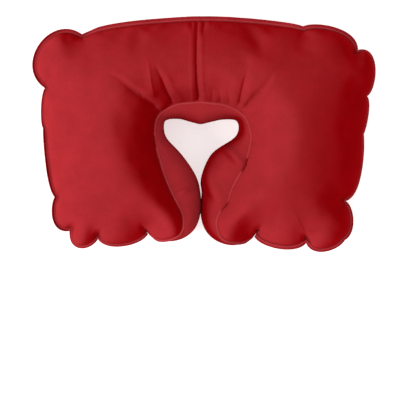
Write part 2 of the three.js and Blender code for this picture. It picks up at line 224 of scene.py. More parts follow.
def catmull(points, t):
    """A centripetal Catmull-Rom curve through points, at parameters t from 0 to len(points) - 1."""
    p = np.array(points, float)
    p = np.vstack([2 * p[0] - p[1], p, 2 * p[-1] - p[-2]])
    i = np.minimum(t.astype(int), len(p) - 4)
    f = (t - i)[:, None]
    knots = [np.zeros(len(t))]
    for k in range(3):
        gap = np.linalg.norm(p[i + k + 1, :2] - p[i + k, :2], axis=1) ** 0.5
        knots.append(knots[-1] + np.maximum(gap, 1e-6))
    t0, t1, t2, t3 = (k[:, None] for k in knots)
    x = t1 + f * (t2 - t1)
    a1 = (t1 - x) / (t1 - t0) * p[i] + (x - t0) / (t1 - t0) * p[i + 1]
    a2 = (t2 - x) / (t2 - t1) * p[i + 1] + (x - t1) / (t2 - t1) * p[i + 2]
    a3 = (t3 - x) / (t3 - t2) * p[i + 2] + (x - t2) / (t3 - t2) * p[i + 3]
    b1 = (t2 - x) / (t2 - t0) * a1 + (x - t0) / (t2 - t0) * a2
    b2 = (t3 - x) / (t3 - t1) * a2 + (x - t1) / (t3 - t1) * a3
    return (t2 - x) / (t2 - t1) * b1 + (x - t1) / (t2 - t1) * b2


def arc_lengths(points):
    steps = np.linalg.norm(np.diff(points[:, :2], axis=0), axis=1)
    return np.concatenate([[0], np.cumsum(steps)])


def resampled(points, shares):
    """Points at these shares of a polyline's length."""
    lengths = arc_lengths(points)
    at = np.asarray(shares) * lengths[-1]
    return np.column_stack([np.interp(at, lengths, c) for c in points.T])


def lobe(start, end, swelling_at, shift, side, step):
    """A cubic Bezier lobe from start to end, swelling away from the arm, divided into equal steps."""
    a, b = np.array(start, float), np.array(end, float)
    chord = np.linalg.norm(b - a)
    along = (b - a) / chord
    out = np.array([along[1], -along[0]]) * side
    shift = shift or (LOBE_SHIFT * chord, LOBE_SHIFT * chord)
    c = a + out * swelling_at[0] + along * shift[0]
    d = b + out * swelling_at[1] - along * shift[1]
    t = np.linspace(0, 1, CURVE_STEPS + 1)[:, None]
    curve = a * (1 - t) ** 3 + 3 * c * t * (1 - t) ** 2 + 3 * d * t * t * (1 - t) + b * t**3
    steps = max(1, round(arc_lengths(curve)[-1] / step))
    return resampled(curve, np.linspace(0, 1, steps + 1))


def towards_neck(points, distance, side):
    """A chain moved sideways towards the neck. It ends at the middle of the back, running across it."""
    along = np.zeros_like(points)
    along[1:-1] = points[2:] - points[:-2]
    along[0] = points[1] - points[0]
    along[-1] = (-side, 0)
    along /= np.linalg.norm(along, axis=1)[:, None]
    return points + np.column_stack([-along[:, 1], along[:, 0]]) * (side * distance)[:, None]


def softened(values, reach):
    """Each row averaged with those within reach of it."""
    padded = np.pad(values, ((reach, reach), (0, 0)), "edge")
    return sum(padded[k : k + len(values)] for k in range(2 * reach + 1)) / (2 * reach + 1)


class Arm:
    """The curves of one arm, from its tip to the middle of the back."""

    def __init__(self, side, tip, lobes, rim):
        self.lay_edge(side, tip, lobes)
        self.weld = towards_neck(self.edge, self.flange, side)
        self.shares = arc_lengths(self.weld[self.end_count :])
        self.shares /= self.shares[-1]

        line = np.array([(MIDDLE + side * x, y) for x, y in CROWN_LINE])
        curve = catmull(line, np.linspace(0, len(line) - 1, 200))
        self.crown = resampled(curve, self.shares)
        towards_crown = self.crown[0] - self.edge[0]
        self.weld[0] = self.edge[0] + towards_crown / np.linalg.norm(towards_crown) * self.flange[0]
        self.lay_rim(rim)

    def lay_edge(self, side, tip, lobes):
        """The outer edge, what its flange is like at each point, and where it has puckers."""
        chain = [np.array([tip], float)]
        margins = [[lobes[0][3:6]]]
        self.puckers = [(0, TIP_PUCKER)]
        for n, (end, swelling_at, shift, width, curl, bead, pucker) in enumerate(lobes):
            step = BACK_STEP if n >= len(lobes) - BACK_LOBES else COLUMN_STEP
            points = lobe(chain[-1][-1], end, swelling_at, shift, side, step)
            chain.append(points[1:])
            margins.append([(width, curl, bead)] * (len(points) - 1))
            count = sum(len(c) for c in chain) - 1
            self.puckers.append((count, pucker))
            if n == END_LOBES - 1:
                self.end_count = count
        self.edge = np.vstack(chain)
        self.flange, self.curl, self.bead = softened(np.vstack(margins), MARGIN_BLEND).T

    def lay_rim(self, rim):
        """The rim, how far the gusset bulges from it and how high it lies at each point."""
        tip_part = catmull(rim, np.linspace(0, RIM_CORNER, 60))
        side_part = catmull(rim, np.linspace(RIM_CORNER, len(rim) - 1, 300))
        tip_points = resampled(tip_part, np.linspace(0, 1, TIP_COLUMNS + 1))
        full = np.vstack([tip_points, resampled(side_part, self.shares)[1:]])
        self.rim, self.bulges = full[:, :2], np.maximum(full[:, 2], 0)
        self.rises = RIM_RISE * smooth(arc_lengths(self.rim) / RIM_TAPER)


ARMS = [
    Arm(-1, LEFT_TIP, LEFT_LOBES, LEFT_RIM),
    Arm(1, RIGHT_TIP, RIGHT_LOBES, RIGHT_RIM),
]
EDGE = np.vstack([arm.edge for arm in ARMS])
SCALE = (CAD_HIGH.x - CAD_LOW.x) / np.ptp(EDGE[:, 0])  # metres per millimetre of the outline
ORIGIN = np.array([(CAD_LOW.x + CAD_HIGH.x) / 2, (CAD_LOW.y + CAD_HIGH.y) / 2, 0])
CENTRE = np.append((EDGE.min(0) + EDGE.max(0)) / 2, 0)


def placed(points):
    """From the outline's millimetres to the frame's metres."""
    return (np.asarray(points) - CENTRE) * SCALE + ORIGIN


# ---- The inflated height of a panel above the outer weld ----


def boundary_samples():
    """Points along both edges of a panel, with their length of edge, their height and whose edge it is."""
    points, lengths, heights, inner = [], [], [], []
    for arm in ARMS:
        for chain, rises in ((arm.weld, np.zeros(len(arm.weld))), (arm.rim, arm.rises)):
            dense = np.linspace(0, 1, 3 * len(chain))
            both = resampled(np.column_stack([chain, rises]), dense)
            middle = (both[1:] + both[:-1]) / 2
            points.append(middle[:, :2])
            lengths.append(np.linalg.norm(np.diff(both[:, :2], axis=0), axis=1))
            heights.append(middle[:, 2])
            inner.append(np.full(len(middle), float(chain is arm.rim)))
    return [np.concatenate(x) for x in (points, lengths, heights, inner)]


BOUNDARY, BOUNDARY_LENGTH, BOUNDARY_HEIGHT, BOUNDARY_INNER = boundary_samples()


def panel_height(plan, at_once=2000):
    """A base that joins the edges, and the air's swelling on it, which meets the rim less steeply."""
    heights = np.empty(len(plan))
    for first in range(0, len(plan), at_once):
        block = slice(first, first + at_once)
        gap = np.linalg.norm(plan[block, None, :] - BOUNDARY[None, :, :], axis=2)
        pull = BOUNDARY_LENGTH / np.maximum(gap, 0.05) ** 3
        total = pull.sum(1)
        base = (pull * BOUNDARY_HEIGHT).sum(1) / total
        distance = (total / 2) ** -0.5  # equals the distance to a straight edge
        ease = OUTER_EASE + (RIM_EASE - OUTER_EASE) * (pull * BOUNDARY_INNER).sum(1) / total
        full = HEIGHT_SCALE * swelling(distance, ease) / swelling(HALF_ARM, ease) * HALF_ARM**HEIGHT_POWER
        heights[block] = base + full
    return heights


def swelling(distance, ease):
    return (distance + ease) ** HEIGHT_POWER - ease**HEIGHT_POWER


def resting(z):
    """Presses what would hang below the table flat against it, with a soft edge."""
    return TABLE_SOFTNESS * np.logaddexp(0, z / TABLE_SOFTNESS)


# ---- Sheets of film ----


class Sheet:
    """A grid of points with faces that look out of the pillow."""

    def __init__(self):
        self.points = []
        self.faces = []

    def add(self, points):
        start = len(self.points)
        self.points.extend(np.asarray(points, float))
        return list(range(start, len(self.points)))

    def strip(self, row_a, row_b):
        for corners in zip(row_a, row_b, row_b[1:], row_a[1:]):
            face = tuple(dict.fromkeys(corners))
            if len(face) > 2:
                self.faces.append(face)

    def array(self):
        return np.array(self.points)


def whole(left, right):
    """One chain from the left arm's tip to the right arm's, through the middle of the back."""
    return np.concatenate([left, right[::-1][1:]])


LEFT, RIGHT = ARMS
EDGE_CHAIN = whole(LEFT.edge, RIGHT.edge)
WELD_CHAIN = whole(LEFT.weld, RIGHT.weld)
CROWN_CHAIN = whole(LEFT.crown, RIGHT.crown)
RIM_CHAIN = whole(LEFT.rim, RIGHT.rim)
RIM_RISES = whole(LEFT.rises, RIGHT.rises)
RIM_BULGES = whole(LEFT.bulges, RIGHT.bulges)
FLANGE_CURL = whole(LEFT.curl, RIGHT.curl)
FLANGE_BEAD = whole(LEFT.bead, RIGHT.bead)
PUCKERS = LEFT.puckers + [(len(WELD_CHAIN) - 1 - k, depth) for k, depth in RIGHT.puckers]


def chain_noise(chain, wavelength, seed):
    """Smooth noise along a chain, from -1 to 1."""
    at = arc_lengths(chain) / wavelength
    knots = np.random.default_rng(seed).uniform(-1, 1, int(at[-1]) + 4)
    return catmull_values(knots, at)


def catmull_values(knots, at):
    i = at.astype(int)
    f = at - i
    a, b, c, d = knots[i], knots[i + 1], knots[i + 2], knots[(i + 3) % len(knots)]
    return 0.5 * (2 * b + (c - a) * f + (2 * a - 5 * b + 4 * c - d) * f**2 + (3 * b - a - 3 * c + d) * f**3)


def rim_across():
    """At each point of the rim, the level direction towards the neck, even past its bends."""
    along = np.gradient(RIM_CHAIN, axis=0)
    along = softened(along / np.linalg.norm(along, axis=1)[:, None], ACROSS_BLEND)
    along /= np.linalg.norm(along, axis=1)[:, None]
    return np.column_stack([along[:, 1], -along[:, 0]])


RIM_ACROSS = rim_across()
NOSE = softened(RIM_CHAIN + RIM_ACROSS * RIM_BULGES[:, None], NOSE_BLEND)  # the gusset's furthest reach


def from_tip(chain):
    """How far each point of a chain is from the nearer of its ends."""
    lengths = arc_lengths(chain)
    return np.minimum(lengths, lengths[-1] - lengths)


SEAM_OFFSET = SEAM_WAVE * chain_noise(WELD_CHAIN, SEAM_WAVELENGTH, 3)
SEAM_OFFSET *= smooth(from_tip(WELD_CHAIN) / TIP_MARGIN)
RIM_FROM_TIP = from_tip(RIM_CHAIN)
RIM_AWAY = smooth(RIM_FROM_TIP / TIP_BEND)  # 0 at the tips and 1 further along


def fin_points(share, up):
    """The weld round the neck, which lies towards the neck and runs out at the arms' tips."""
    width = FIN * (FIN_LEAST + (1 - FIN_LEAST) * smooth(RIM_FROM_TIP / FIN_TAPER))
    width = width * (1 + FIN_WAVE * chain_noise(RIM_CHAIN, 11, 5)) * share
    level = RIM_CHAIN + RIM_ACROSS * (width * np.cos(FIN_TILT * RIM_AWAY))[:, None]
    return np.column_stack([level, up * (RIM_RISES + width * np.sin(FIN_TILT * RIM_AWAY))])


def panel(up):
    """The upper panel (up = 1) or the lower one (up = -1), and its rows of points from each edge."""
    sheet = Sheet()
    crown_count = len(CROWN_CHAIN)
    crown_row = sheet.add(np.column_stack([CROWN_CHAIN, np.zeros(crown_count)]))

    def rows_from(chain, fan, offset):
        target = np.clip(np.arange(len(chain)) - fan, 0, crown_count - 1)
        rows = []
        for j in range(ROWS):
            f = 1 - math.cos(math.pi / 2 * j / ROWS)
            plan = chain + (CROWN_CHAIN[target] - chain) * f
            rows.append(sheet.add(np.column_stack([plan, offset * (1 - f) ** 2])))
        rows.append([crown_row[k] for k in target])
        return rows

    outer = rows_from(WELD_CHAIN, LEFT.end_count, SEAM_OFFSET)
    inner = rows_from(RIM_CHAIN[1:-1], TIP_COLUMNS - 1, np.zeros(len(RIM_CHAIN) - 2))
    inner = [[o[0], *i, o[-1]] for o, i in zip(outer, inner)]
    for j in range(ROWS):
        sheet.strip(outer[j], outer[j + 1])
        sheet.strip(inner[j + 1], inner[j])
    surface = sheet.array()
    height = panel_height(surface[:, :2])
    height[outer[0]] = 0
    height[inner[0][1:-1]] = RIM_RISES[1:-1]
    if up < 0:
        height *= LOWER_SHARE
    surface[:, 2] += up * height
    sheet.points = list(surface)
    return sheet, {"outer": outer, "inner": inner}


def gusset():
    """The wall round the neck, which bulges between the two rims."""
    sheet = Sheet()
    reach = math.cos(GUSSET_TURN)
    columns = []
    for j in range(GUSSET_ROWS + 1):
        turn = GUSSET_TURN * (1 - 2 * j / GUSSET_ROWS)
        swell = (math.cos(turn) - reach) / (1 - reach)
        drop = LOWER_SHARE if turn < 0 else 1
        plan = RIM_CHAIN + (NOSE - RIM_CHAIN) * swell
        height = RIM_RISES * math.sin(turn) / math.sin(GUSSET_TURN) * drop
        columns.append(sheet.add(np.column_stack([plan, height])[1:-1]))
    for above, below in zip(columns, columns[1:]):
        sheet.strip(below, above)
    return sheet


# ---- Air: the panels and the gusset swell against their welds ----


def as_object(name, points, faces):
    mesh = bpy.data.meshes.new(name)
    mesh.from_pydata([tuple(p) for p in points], [], faces)
    mesh.update()
    made = bpy.data.objects.new(name, mesh)
    bpy.context.scene.collection.objects.link(made)
    return made


def coordinates(made):
    flat = np.empty(len(made.data.vertices) * 3)
    made.data.vertices.foreach_get("co", flat)
    return flat.reshape(-1, 3)


def applied(made):
    """Turns an object's modifiers into its mesh."""
    graph = bpy.context.evaluated_depsgraph_get()
    mesh = bpy.data.meshes.new_from_object(made.evaluated_get(graph))
    made.modifiers.clear()
    made.data = mesh
    return made


def puffed(sheets):
    """How the air moves the points of each sheet, from a cloth simulation of the closed bladder."""
    points, faces, start = [], [], 0
    for sheet in sheets:
        array = sheet.array()
        points.append(array)
        faces += [tuple(k + start for k in face) for face in sheet.faces]
        start += len(array)
    bladder = as_object("bladder", np.vstack(points) / PER_METRE, faces)
    remesh = bladder.modifiers.new("remesh", "REMESH")
    remesh.mode = "VOXEL"
    remesh.voxel_size = PUFF_VOXEL / PER_METRE
    applied(bladder)
    before = coordinates(bladder)
    hold_seams(bladder, before * PER_METRE)
    add_cloth(bladder)
    scene = bpy.context.scene
    for number in range(1, PUFF_FRAMES + 1):
        scene.frame_set(number)
    graph = bpy.context.evaluated_depsgraph_get()
    after = coordinates(bladder.evaluated_get(graph))
    scene.frame_set(1)
    moves = (after - before) * PER_METRE
    bpy.data.objects.remove(bladder)
    length = np.linalg.norm(moves, axis=1)[:, None]
    moves *= PUFF_LIMIT * np.tanh(length / PUFF_LIMIT) / np.maximum(length, 1e-9)
    return spread(before * PER_METRE, moves, [sheet.array() for sheet in sheets])


def hold_seams(bladder, points):
    """Pins the bladder's points that lie near the welds."""
    seams = np.vstack([
        np.column_stack([WELD_CHAIN, SEAM_OFFSET]),
        np.column_stack([RIM_CHAIN, RIM_RISES]),
        np.column_stack([RIM_CHAIN, -RIM_RISES * LOWER_SHARE]),
    ])
    gap = nearest_distance(seams, points)
    pin = bladder.vertex_groups.new(name="held")
    for k, share in enumerate(1 - smooth((gap - HELD_NEAR) / (HELD_FAR - HELD_NEAR))):
        if share > 0:
            pin.add([k], float(share), "REPLACE")


def add_cloth(bladder):
    """Cloth under the air's pressure, with no gravity."""
    cloth = bladder.modifiers.new("cloth", "CLOTH")
    settings = cloth.settings
    settings.vertex_group_mass = "held"
    settings.use_pressure = True
    settings.uniform_pressure_force = PUFF_PRESSURE
    settings.effector_weights.gravity = 0
    settings.shrink_min = -PUFF_SHRINK
    settings.shrink_max = -PUFF_SHRINK
    settings.quality = 6
    settings.mass = 0.2
    settings.tension_stiffness = 40
    settings.compression_stiffness = 40
    settings.shear_stiffness = 20
    settings.bending_stiffness = 2.0
    cloth.collision_settings.use_collision = False


def tree_of(points):
    tree = kdtree.KDTree(len(points))
    for k, p in enumerate(points):
        tree.insert(p, k)
    tree.balance()
    return tree


def nearest_distance(targets, points):
    tree = tree_of(targets)
    return np.array([tree.find(p)[2] for p in points])


def spread(sources, moves, targets):
    """Moves known at some points, carried to others by the nearest few."""
    tree = tree_of(sources)
    results = []
    for points in targets:
        carried = np.zeros_like(points)
        for k, p in enumerate(points):
            near = tree.find_n(p, SPREAD_COUNT)
            weights = np.array([1 / (d * d + SPREAD_SOFTNESS) for _, _, d in near])
            carried[k] = weights @ moves[[n for _, n, _ in near]] / weights.sum()
        results.append(carried)
    return results


# ---- Creases and puckers ----


def normals_of(points, faces):
    """Area-weighted normals at the points of a sheet."""
    normals = np.zeros_like(points)
    for size in (3, 4):
        chosen = np.array([f for f in faces if len(f) == size])
        if not len(chosen):
            continue
        a, b, c = points[chosen[:, 0]], points[chosen[:, 1]], points[chosen[:, 2]]
        d = points[chosen[:, -1]]
        normal = np.cross(c - a, d - b) if size == 4 else np.cross(b - a, c - a)
        for k in range(size):
            np.add.at(normals, chosen[:, k], normal)
    return normals / np.maximum(np.linalg.norm(normals, axis=1), 1e-9)[:, None]


def along_line(line, plan):
    """For points in plan: distance from a curve, whether on its left, and its other values there."""
    line = np.array(line, float)
    line = catmull(line, np.linspace(0, len(line) - 1, 8 * len(line))) if len(line) > 2 else line
    best = np.full(len(plan), np.inf)
    on_left = np.zeros(len(plan), bool)
    values = np.zeros((len(plan), line.shape[1] - 2))
    for a, b in zip(line, line[1:]):
        step, offset = b[:2] - a[:2], plan - a[:2]
        t = np.clip(offset @ step / (step @ step), 0, 1)
        gap = np.linalg.norm(offset - t[:, None] * step, axis=1)
        closer = gap < best
        best[closer] = gap[closer]
        on_left[closer] = (step[0] * offset[:, 1] - step[1] * offset[:, 0] > 0)[closer]
        values[closer] = (a[2:] + t[:, None] * (b[2:] - a[2:]))[closer]
    return best, on_left, values


def valley(gap, width):
    """The cross-section of a crease: a sharp bottom, rounded shoulders and a slight ridge outside."""
    r = gap / width
    return np.exp(-1.6 * r) * np.clip(1 - r / 2.2, 0, 1) - 0.12 * np.exp(-((r - 1.9) ** 2) * 2)


def dent(gap, width):
    """The cross-section of a soft fold."""
    return np.exp(-((gap / width) ** 2))


def crease_depth(plan, creases, section=valley):
    depth = np.zeros(len(plan))
    for line in creases:
        gap, on_left, values = along_line(line, plan)
        width = np.where(on_left, values[:, 1], values[:, 2])
        depth += values[:, 0] * section(gap, np.maximum(width, 1))
    return depth


def gather_depth(plan):
    """Small gathers of the film along the outer weld."""
    strength = sum(
        depth * np.exp(-((np.linalg.norm(WELD_CHAIN - (x, y), axis=1) / spread_out) ** 2))
        for x, y, spread_out, depth in GATHERS
    )
    ripple = strength * chain_noise(WELD_CHAIN, GATHER_STEP, 21)
    tree = tree_of(np.column_stack([WELD_CHAIN, np.zeros(len(WELD_CHAIN))]))
    found = [tree.find((x, y, 0))[1:] for x, y in plan]
    at, gap = (np.array(column) for column in zip(*found))
    share = gap / GATHER_REACH
    return ripple[at] * share * np.exp(1 - share)


def pucker_depth(plan):
    """Creases that run in from the puckers of the outer weld towards the crown."""
    lines = []
    for k, depth in PUCKERS:
        start = WELD_CHAIN[k]
        nearest = CROWN_CHAIN[np.argmin(np.linalg.norm(CROWN_CHAIN - start, axis=1))]
        inward = (nearest - start) / np.linalg.norm(nearest - start)
        width = (PUCKER_WIDTH, PUCKER_WIDTH)
        outer, inner = start - inward * PUCKER_START, start + inward * PUCKER_LENGTH
        lines.append([(*outer, depth, *width), (*inner, 0, *width)])
    return crease_depth(plan, lines)


# ---- The flat seat of the valve ----


def valve_seat():
    """The middle of the valve's hole on the outside of the film, in the outline's frame, and its axis."""
    slide = next(j for j in frame["record"]["behaviour"]["joints"] if j["name"] == "stem_slide")
    axis = np.array(slide["axis"]) / np.linalg.norm(slide["axis"])
    points = (coordinates(frame["nodes"]["valve_base"]) - ORIGIN) / SCALE + CENTRE
    height = points @ axis
    centre = points[height > height.max() - 0.01].mean(0)
    return centre + axis * (FILM + VALVE_WELD_GAP), axis


VALVE_CENTRE, VALVE_AXIS = valve_seat()


def seated_at_valve(points):
    """Lays the film flat round the valve."""
    offset = points + (0, 0, SEAM_HEIGHT) - VALVE_CENTRE
    height = offset @ VALVE_AXIS
    radius = np.linalg.norm(offset - height[:, None] * VALVE_AXIS, axis=1)
    share = 1 - smooth((radius - VALVE_FLAT) / (VALVE_BLEND - VALVE_FLAT))
    return points - (height * share)[:, None] * VALVE_AXIS


def valve_hole_cut(made, count=64, reach=3):
    """Cuts the valve's round hole through the film."""
    across = np.cross(VALVE_AXIS, (0, 0, 1))
    across /= np.linalg.norm(across)
    upwards = np.cross(VALVE_AXIS, across)
    turn = np.linspace(0, 2 * math.pi, count, endpoint=False)[:, None]
    ring = VALVE_CENTRE + VALVE_HOLE * (np.cos(turn) * across + np.sin(turn) * upwards)
    points = np.vstack([ring - reach * VALVE_AXIS, ring + reach * VALVE_AXIS])
    faces = [(k, (k + 1) % count, count + (k + 1) % count, count + k) for k in range(count)]
    faces += [tuple(reversed(range(count))), tuple(range(count, 2 * count))]
    cutter = as_object("cutter", placed(points), faces)
    cut = made.modifiers.new("hole", "BOOLEAN")
    cut.operation = "DIFFERENCE"
    cut.object = cutter
    applied(made)
    bpy.data.objects.remove(cutter)


# ---- Pieces ----


def thickened(points, faces, thickness):
    """A closed skin: the sheet, its copy moved inwards, and walls along its open edges."""
    inner = points - normals_of(points, faces) * thickness
    count = len(points)
    closed = list(faces) + [tuple(k + count for k in reversed(face)) for face in faces]
    sides = {(a, b) for face in faces for a, b in zip(face, face[1:] + face[:1])}
    for a, b in sorted(sides):
        if (b, a) not in sides:
            closed.append((b, a, a + count, b + count))
    return np.vstack([points, inner]), closed


def arm_share(points):
    """0 on the right arm, 1 on the left one, and smoothly between round the back."""
    angle = np.degrees(np.arctan2(points[:, 1], points[:, 0] - MIDDLE))
    angle = np.where(angle < -90, angle + 360, angle)
    return smooth((angle - BEND_START) / (BEND_END - BEND_START))


def film_piece(name, points, faces, ridge_highlight, material, replaced, bends_at=None):
    """A finished sheet of film. Each point's share of the arms is worked out, from its row of bends_at
    where that is given, but nothing uses it.
    """
    lifted = points + (0, 0, SEAM_HEIGHT)
    lifted[:, 2] = resting(lifted[:, 2])
    skin, closed = thickened(lifted, faces, FILM)
    made = as_object(name, placed(skin), closed)
    made.data.polygons.foreach_set("use_smooth", [True] * len(made.data.polygons))
    made.data.materials.append(material)
    # the share of painted highlight at each point, which the material reads
    made.data.attributes.new("ridge_highlight", "FLOAT", "POINT").data.foreach_set("value", np.tile(ridge_highlight, 2))
    if name == "lower_panel":
        valve_hole_cut(made)
    share = arm_share((coordinates(made) - ORIGIN) / SCALE + CENTRE if bends_at is None else bends_at)
    back = placed([(MIDDLE + 60, 100, 40), (MIDDLE - 60, 100, 40)])
    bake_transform(made)
    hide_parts(*replaced)
    return made


# Cross-sections of the margins: (share of the width, height of the bead, share of painted highlight on the
# ridge). The flange's heights are shares of FLANGE_BEAD, and the fin's are millimetres.
FLANGE_SECTION = [
    (0.15, 0.7, 0.5),
    (0.3, 1, 1),
    (0.45, 0.7, 0.6),
    (0.6, 0.15, 0),
    (0.8, 0, 0),
    (1, 0.25, 0.2),
]
FIN_SECTION = [(0.25, 0.3, 0.7), (0.5, 0.4, 1), (0.75, 0.2, 0.6), (1, -0.45, 0)]


def with_margins(sheet, groups, up):
    """Adds the flange and the fin to a panel of final shape, and returns its points, faces and painted
    highlight.
    """
    points = sheet.array()
    points[:, 2] += up * FILM
    final = Sheet()
    final.points = list(points)
    final.faces = list(sheet.faces)
    ridge_highlight_share = {}
    rows = [groups["outer"][0]]
    wave = FLANGE_WAVE * chain_noise(WELD_CHAIN, FLANGE_WAVELENGTH, 8)
    for share, bead, ridge_highlight in FLANGE_SECTION:
        plan = WELD_CHAIN + (EDGE_CHAIN - WELD_CHAIN) * share
        level = SEAM_OFFSET + (wave + FLANGE_CURL) * share**2
        rows.append(final.add(np.column_stack([plan, level + up * (FILM + FLANGE_BEAD * bead)])))
        ridge_highlight_share.update(dict.fromkeys(rows[-1], ridge_highlight))
    for inner, outer in zip(rows, rows[1:]):
        final.strip(outer, inner)

    rows = [groups["inner"][0][1:-1]]
    for share, bead, ridge_highlight in FIN_SECTION:
        fin = fin_points(share, up)
        fin[:, 2] += up * (FILM + bead * RIM_AWAY)
        rows.append(final.add(fin[1:-1]))
        ridge_highlight_share.update(dict.fromkeys(rows[-1], ridge_highlight))
    for inner, outer in zip(rows, rows[1:]):
        final.strip(inner, outer)
    faces = final.faces if up > 0 else [tuple(reversed(face)) for face in final.faces]
    return final.array(), faces, np.array([ridge_highlight_share.get(k, 0) for k in range(len(final.points))], float)


def folded(sheet, depth):
    """Moves a sheet's points inwards by these depths."""
    points = sheet.array()
    sheet.points = list(points - normals_of(points, sheet.faces) * depth[:, None])


def build_film(material, gusset_material):
    upper, upper_groups = panel(1)
    lower, lower_groups = panel(-1)
    lower.faces = [tuple(reversed(face)) for face in lower.faces]
    wall = gusset()
    sheets = [upper, lower, wall]
    for sheet, moves in zip(sheets, puffed(sheets)):
        share = GUSSET_FREEDOM if sheet is wall else 1
        sheet.points = list(sheet.array() + moves * share)

    for sheet, creases in ((upper, CREASES), (lower, [])):
        plan = sheet.array()[:, :2]
        folded(sheet, crease_depth(plan, creases) + pucker_depth(plan) + gather_depth(plan))
    points = wall.array()
    folded(wall, crease_depth(points[:, :2], GUSSET_FOLDS, dent) * smooth(points[:, 2] / 12))
    lower.points = list(seated_at_valve(lower.array()))
    hold_edges(upper, upper_groups, 1)
    hold_edges(lower, lower_groups, -1)
    lower.faces = [tuple(reversed(face)) for face in lower.faces]

    halves = ["upper_panel_left", "upper_panel_right"]
    film_piece("upper_panel", *with_margins(upper, upper_groups, 1), material, halves)
    halves = ["lower_panel_left", "lower_panel_right"]
    film_piece("lower_panel", *with_margins(lower, lower_groups, -1), material, halves)
    beside = np.tile(RIM_CHAIN[1:-1], (2 * (GUSSET_ROWS + 1), 1))  # the rim beside each point of the wall
    halves = ["neck_gusset_left", "neck_gusset_right"]
    no_ridge_highlight = np.zeros(len(wall.points))
    film_piece("neck_gusset", wall.array(), wall.faces, no_ridge_highlight, gusset_material, halves, beside)


def hold_edges(sheet, groups, up):
    """Puts a panel's edges back on its welds."""
    weld = groups["outer"][0]
    rim = groups["inner"][0][1:-1]
    for k, p, z in zip(weld, WELD_CHAIN, SEAM_OFFSET):
        sheet.points[k] = np.array([*p, z])
    drop = LOWER_SHARE if up < 0 else 1
    for k, p, z in zip(rim, RIM_CHAIN[1:-1], RIM_RISES[1:-1]):
        sheet.points[k] = np.array([*p, up * z * drop])


# ---- Materials ----

PAINTED_LIGHT_RANGE = (0.05, 0.85)  # from the darkest painted shade to the lightest painted light, as the cosine of a face's turn from the painted light's direction
PANEL_PAINTED_LIGHT_DIRECTION = (-0.76, -0.12, 0.64)  # the direction of the light painted on the panels, close to the key lamp's; faces turned this way get the lightest colour
GUSSET_PAINTED_LIGHT_DIRECTION = (0.5, -0.1, 0.86)  # the gusset's light is painted from up and to the right, so its wall on the left arm is painted lighter and on the right arm darker
RIDGE_HIGHLIGHT = (0.5, 0.06, 0.07, 1)  # a painted highlight along the welds' ridges: a paler red where they would catch the light
RIDGE_HIGHLIGHT_STRENGTH = 0.65  # the most of that painted highlight that shows
PATCHES = 0.12  # how much the flock varies in wide patches
SPECKS = 0.14  # and in fine specks
PANEL_PAINTED_SHADE_AND_LIGHT = (0.275, 0.0003, 0.002, 1), (0.375, 0.021, 0.0265, 1)  # painted shade and painted light: the colours for faces turned away from the painted light and towards it
# the gusset's painted shade and painted light, with a deeper painted shade
GUSSET_PAINTED_SHADE_AND_LIGHT = (0.22, 0.0003, 0.002, 1), (0.375, 0.0215, 0.027, 1)


def node_material(name):
    made = bpy.data.materials.new(name)
    made.use_nodes = True
    return made, made.node_tree.nodes, made.node_tree.links, made.node_tree.nodes["Principled BSDF"]


def noise(nodes, links, coordinate, scale, detail=3.0, roughness=0.5):
    made = nodes.new("ShaderNodeTexNoise")
    made.inputs["Scale"].default_value = scale
    made.inputs["Detail"].default_value = detail
    made.inputs["Roughness"].default_value = roughness
    links.new(coordinate, made.inputs["Vector"])
    return made.outputs["Fac"]


def blended(nodes, links, factor, low, high):
    """A colour between two, by a factor from 0 to 1."""
    mix = nodes.new("ShaderNodeMix")
    mix.data_type = "RGBA"
    links.new(factor, mix.inputs["Factor"])
    for name, value in (("A", low), ("B", high)):
        socket = next(i for i in mix.inputs if i.name == name and i.type == "RGBA")
        if isinstance(value, tuple):
            socket.default_value = value
        else:
            links.new(value, socket)
    return next(o for o in mix.outputs if o.type == "RGBA")


def ranged(nodes, links, value, low, high):
    """A value mapped smoothly from low..high to 0..1."""
    made = nodes.new("ShaderNodeMapRange")
    made.interpolation_type = "SMOOTHSTEP"
    made.inputs["From Min"].default_value = low
    made.inputs["From Max"].default_value = high
    links.new(value, made.inputs["Value"])
    return made.outputs["Result"]


def multiply_add(nodes, links, value, factor, added):
    """value * factor + added, where added is a number or a socket."""
    made = nodes.new("ShaderNodeMath")
    made.operation = "MULTIPLY_ADD"
    links.new(value, made.inputs[0])
    made.inputs[1].default_value = factor
    if isinstance(added, float):
        made.inputs[2].default_value = added
    else:
        links.new(added, made.inputs[2])
    return made.outputs["Value"]


def painted_light_colour(nodes, links, normal, painted_light_direction, dark, light):
    """The flock's colour with painted light and shade: lighter on faces turned towards the painted light
    and darker on those turned away, and paler with a painted highlight along the welds' ridges.
    """
    turn_to_painted_light = nodes.new("ShaderNodeVectorMath")
    turn_to_painted_light.operation = "DOT_PRODUCT"
    links.new(normal, turn_to_painted_light.inputs[0])
    turn_to_painted_light.inputs[1].default_value = painted_light_direction
    # painted light and shade: how far each face turns towards the painted light
    painted_light_share = ranged(nodes, links, turn_to_painted_light.outputs["Value"], *PAINTED_LIGHT_RANGE)
    colour = blended(nodes, links, painted_light_share, dark, light)
    # the painted highlight along the welds' ridges
    ridge_highlight = nodes.new("ShaderNodeAttribute")
    ridge_highlight.attribute_name = "ridge_highlight"
    return blended(nodes, links, ranged(nodes, links, ridge_highlight.outputs["Fac"], 0, 1 / RIDGE_HIGHLIGHT_STRENGTH), colour, RIDGE_HIGHLIGHT)


def bumped(nodes, links, shader, height, strength, distance):
    """Gives a shader fine relief from a height."""
    bump = nodes.new("ShaderNodeBump")
    bump.inputs["Strength"].default_value = strength
    bump.inputs["Distance"].default_value = distance
    links.new(height, bump.inputs["Height"])
    links.new(bump.outputs["Normal"], shader.inputs["Normal"])


